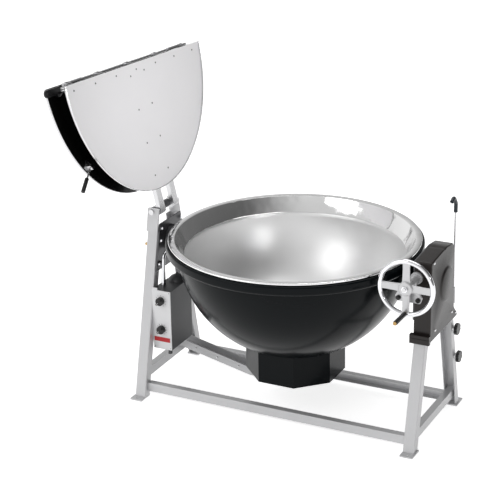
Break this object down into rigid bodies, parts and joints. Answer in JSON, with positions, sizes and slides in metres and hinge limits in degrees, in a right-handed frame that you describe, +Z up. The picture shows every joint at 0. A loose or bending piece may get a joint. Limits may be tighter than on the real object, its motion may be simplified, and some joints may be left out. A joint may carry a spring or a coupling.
{
  "type": "tilting jacketed kettle",
  "caption": "Tilting steam jacketed kettle on two A-frames, with worm-gear handwheel tilt and a half-disc lid that folds in two.",
  "frame": {"origin": "on the floor under the middle of the kettle and of the four anchor holes", "axes": "+X along the trunnions towards the handwheel side, +Y to the back, +Z up"},
  "size_m": [1.5634, 1.1514, 1.4506],
  "materials": {
    "polished_steel": "polished, satin below the weld",
    "satin_steel": "satin",
    "black_enamel": "gloss black",
    "grey_paint": "satin light grey",
    "dark_steel": "satin dark grey",
    "bronze": "machined",
    "brass": "plain",
    "bright_chrome": "bright",
    "cast_aluminium": "polished casting",
    "black_plastic": "matt",
    "grey_plastic": "matt grey-blue",
    "brown_moulding": "dark brown, half gloss"
  },
  "bodies": {
    "frame": {"leg_front_left": "grey_paint", "leg_rear_left": "grey_paint", "leg_front_right": "grey_paint", "leg_rear_right": "grey_paint", "foot_plates": "grey_paint", "rail_front": "grey_paint", "rail_rear": "grey_paint", "rail_left": "grey_paint", "rail_right": "grey_paint", "bearing_plate_left": "dark_steel", "gear_head": "dark_steel", "trunnion_bushes": "bronze", "worm_sleeve": "bright_chrome", "wheel_bracket": "cast_aluminium", "bracket_bolts": "black_plastic", "head_plates": "grey_paint", "cross_plate": "dark_steel", "head_bolts": "bright_chrome", "gear_cover": "brown_moulding", "cover_strap": "brown_moulding", "cover_spacers": "satin_steel", "control_box": "dark_steel", "control_panel": "grey_paint", "service_channel": "grey_paint", "steam_pipe": "bright_chrome", "conduit": "black_plastic", "brass_fitting": "brass", "valve_bodies": "brass", "rod_socket": "grey_paint"},
    "kettle": {"inner_pan": "polished_steel", "rim_collar": "black_enamel", "steam_jacket": "black_enamel", "heater_casing": "black_enamel", "trunnion_left": "black_enamel", "trunnion_right": "black_enamel", "worm_wheel": "bronze"},
    "wheel": {"handwheel": "cast_aluminium", "worm_shaft": "satin_steel", "hub_nut": "bright_chrome", "crank_pin": "brass"},
    "crank_grip": {"crank_grip": "black_plastic"},
    "lid_fixed": {"lid_pivot_shaft": "satin_steel", "lid_arms": "satin_steel", "lid_fixed_half": "satin_steel", "lid_fixed_lugs": "satin_steel", "lid_fold_pin": "satin_steel", "lid_screws": "satin_steel", "latch_post": "satin_steel"},
    "latch": {"latch_bar": "black_plastic"},
    "lid_free": {"lid_free_half": "satin_steel", "lid_free_lugs": "satin_steel", "handle_bracket": "satin_steel", "handle_rod": "satin_steel", "handle_grip": "black_plastic"},
    "knob_lower": {"control_knob_lower": "black_plastic"},
    "knob_upper": {"control_knob_upper": "black_plastic"},
    "valve_lower": {"valve_knob_lower": "black_plastic"},
    "valve_upper": {"valve_knob_upper": "black_plastic"},
    "hook": {"hook_rod": "satin_steel", "hook_grip": "grey_plastic"}
  },
  "joints": [
    {"name": "kettle_tilt", "type": "hinge", "parent": "frame", "child": "kettle", "pos_m": [0, 0, 0.66], "axis": [1, 0, 0], "range_deg": [0, 85]},
    {"name": "handwheel_spin", "type": "hinge", "parent": "frame", "child": "wheel", "pos_m": [0.605, -0.282, 0.728], "axis": [0, 1, 0], "range_deg": [0, 3400]},
    {"name": "crank_grip_spin", "type": "hinge", "parent": "wheel", "child": "crank_grip", "pos_m": [0.605, -0.342, 0.624], "axis": [0, 1, 0], "continuous": true},
    {"name": "lid_swing", "type": "hinge", "parent": "frame", "child": "lid_fixed", "pos_m": [-0.628, 0, 0.795], "axis": [0, -1, 0], "range_deg": [-103.4, 0]},
    {"name": "lid_fold", "type": "hinge", "parent": "lid_fixed", "child": "lid_free", "pos_m": [-0.7784, 0, 1.40474], "axis": [-0.015, -0.9979, 0.0628], "range_deg": [-180, 0]},
    {"name": "latch_turn", "type": "hinge", "parent": "lid_fixed", "child": "latch", "pos_m": [-0.78345, -0.50578, 1.42377], "axis": [-0.9728, 0, -0.2317], "range_deg": [0, 90]},
    {"name": "control_knob_lower_turn", "type": "hinge", "parent": "frame", "child": "knob_lower", "pos_m": [-0.553, -0.18, 0.298], "axis": [0, 1, 0], "range_deg": [0, 270]},
    {"name": "control_knob_upper_turn", "type": "hinge", "parent": "frame", "child": "knob_upper", "pos_m": [-0.553, -0.18, 0.43], "axis": [0, 1, 0], "range_deg": [0, 270]},
    {"name": "valve_lower_turn", "type": "hinge", "parent": "frame", "child": "valve_lower", "pos_m": [0.664, 0.18927, 0.251], "axis": [1, 0, 0], "range_deg": [0, 720]},
    {"name": "valve_upper_turn", "type": "hinge", "parent": "frame", "child": "valve_upper", "pos_m": [0.664, 0.15753, 0.389], "axis": [1, 0, 0], "range_deg": [0, 720]},
    {"name": "hook_swivel", "type": "hinge", "parent": "frame", "child": "hook", "pos_m": [0.657, 0.118, 0.7], "axis": [0, 0, 1], "range_deg": [-90, 90]}
  ],
  "couplings": [
    {"joint": "handwheel_spin", "follows": "kettle_tilt", "ratio": 40}
  ]
}
